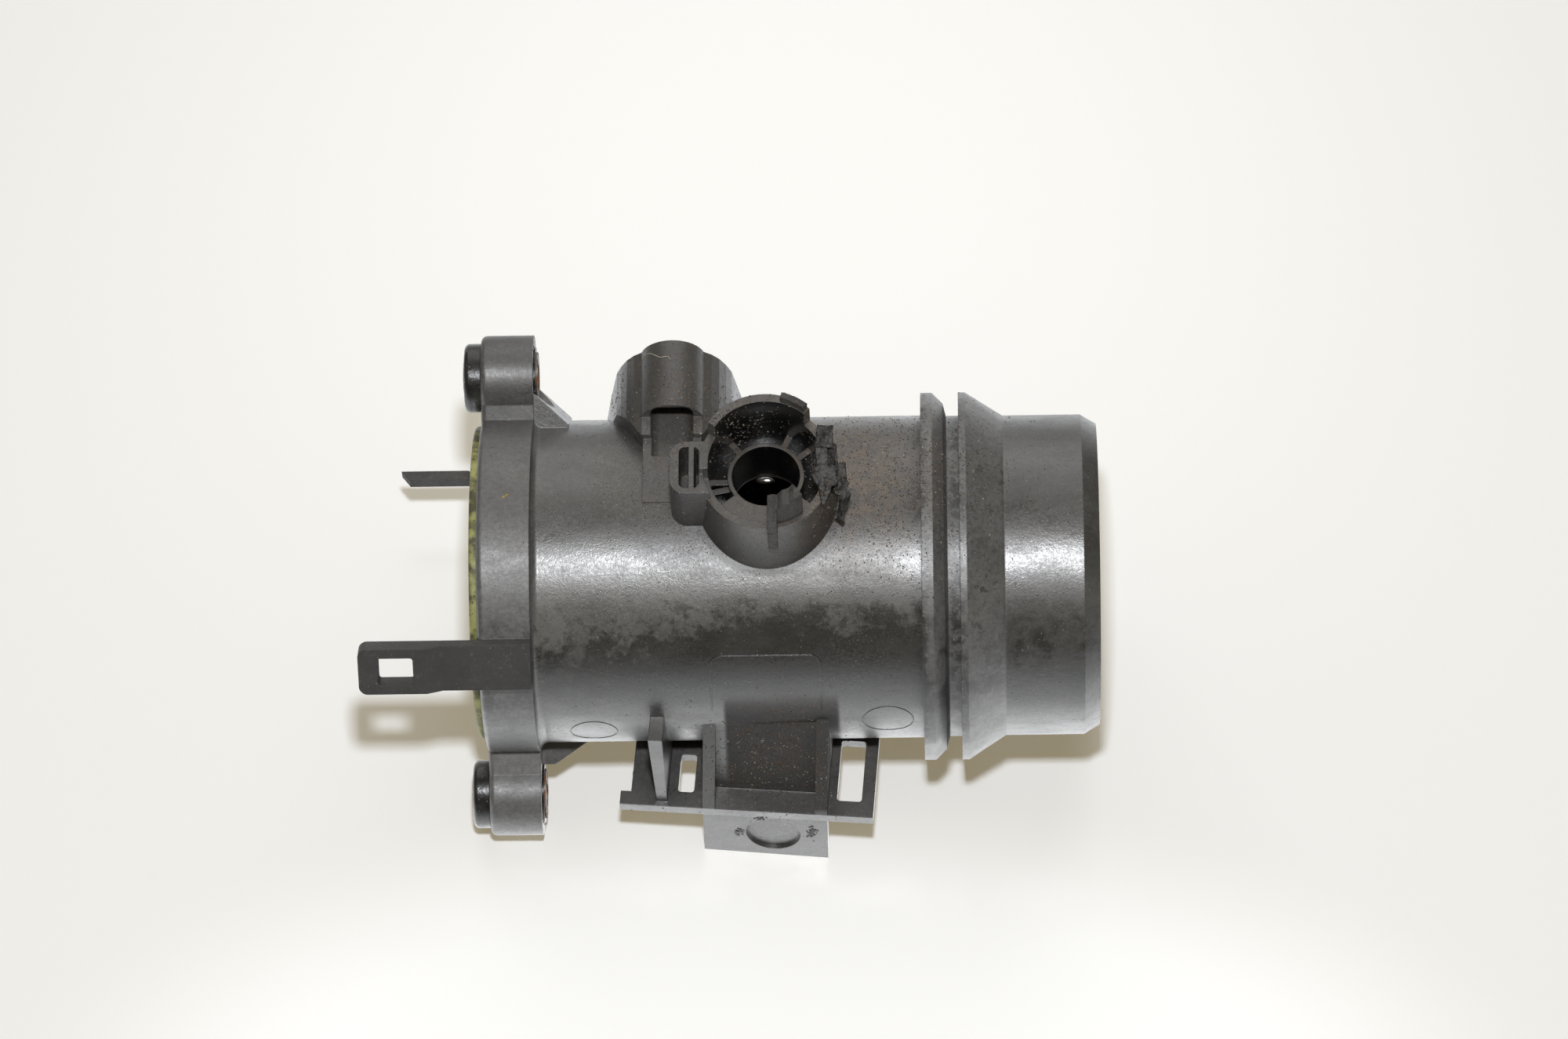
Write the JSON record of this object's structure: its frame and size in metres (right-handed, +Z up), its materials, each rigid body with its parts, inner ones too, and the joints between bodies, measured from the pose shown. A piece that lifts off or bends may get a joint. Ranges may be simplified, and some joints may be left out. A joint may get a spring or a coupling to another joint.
{
  "type": "mass airflow sensor",
  "caption": "Used mass airflow sensor: black plastic duct with bolted inlet flange, snap arms, ribbed hose end, broken vent port, side bracket and plug-in sensor.",
  "frame": {"origin": "centre of the inlet flange's mounting face, on the duct axis", "axes": "+X along the duct from the inlet flange to the hose end, +Z up along the vent port, +Y to the side with the plug-in sensor"},
  "size_m": [0.1809, 0.1122, 0.1103],
  "materials": {
    "housing_plastic": "moulded black plastic, oily and worn",
    "seal_rubber": "olive-green seal rubber",
    "bush_rubber": "glossy black rubber",
    "sleeve_steel": "steel with surface rust",
    "grid_plastic": "black plastic",
    "spring_steel": "spring steel",
    "sensor_plastic": "black glass-filled plastic",
    "screw_steel": "zinc-plated steel",
    "board_laminate": "green board laminate",
    "film_ceramic": "white ceramic carrier",
    "bead_resin": "brown resin bead",
    "pin_metal": "tinned contact metal",
    "remnant_plastic": "broken grey plastic"
  },
  "bodies": {
    "root": {"duct_housing": "housing_plastic", "flange_seal": "seal_rubber", "upper_grommet": "bush_rubber", "lower_grommet": "bush_rubber", "upper_sleeve": "sleeve_steel", "lower_sleeve": "sleeve_steel", "inlet_grid": "grid_plastic", "grid_retainer": "spring_steel", "sensor_head": "sensor_plastic", "finger_cover": "sensor_plastic", "sensor_seal": "bush_rubber", "upper_screw": "screw_steel", "lower_screw": "screw_steel", "circuit_board": "board_laminate", "hot_film": "film_ceramic", "temperature_bead": "bead_resin", "pin_1": "pin_metal", "pin_2": "pin_metal", "pin_3": "pin_metal", "pin_4": "pin_metal", "pin_5": "pin_metal", "front_remnant": "remnant_plastic", "right_remnant": "remnant_plastic", "rear_remnant": "remnant_plastic"}
  },
  "joints": []
}
